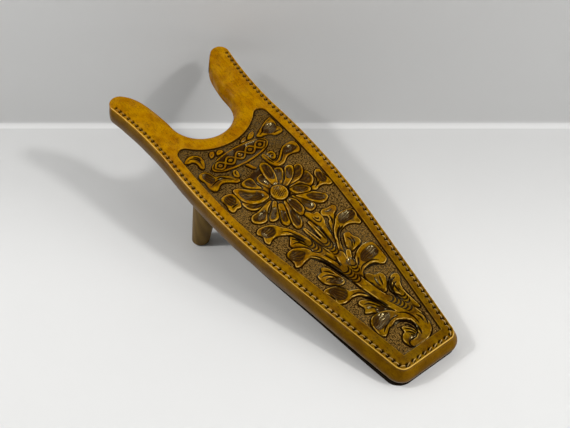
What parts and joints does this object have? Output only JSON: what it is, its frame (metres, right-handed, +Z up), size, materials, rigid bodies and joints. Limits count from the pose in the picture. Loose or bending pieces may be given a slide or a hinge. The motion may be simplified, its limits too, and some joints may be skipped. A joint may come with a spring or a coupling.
{
  "type": "boot jack",
  "caption": "Boot jack: wooden board with a heel notch, covered in floral tooled leather with a stitched edge, tilted up on turned peg legs.",
  "frame": {"origin": "middle of the footprint's bounding box, on the floor that the jack stands on", "axes": "+Z up, +Y along the board from its toe to its prongs, +X across the board to its right"},
  "size_m": [0.1158, 0.3176, 0.0959],
  "materials": {
    "board_wood": "bare sawn wood, hidden by the leather",
    "tooled_leather": "carved and stamped, antiqued and glossy",
    "band_leather": "smooth, dyed and glossy",
    "sole_leather": "dark and matt",
    "leg_wood": "turned, stained and satin",
    "screw_steel": "plain steel",
    "waxed_thread": "waxed thread"
  },
  "bodies": {
    "root": {"core_board": "board_wood", "top_cover": "tooled_leather", "side_band": "band_leather", "bottom_cover": "sole_leather", "right_leg": "leg_wood", "left_leg": "leg_wood", "leg_screws": "screw_steel", "edge_stitching": "waxed_thread"}
  },
  "joints": []
}
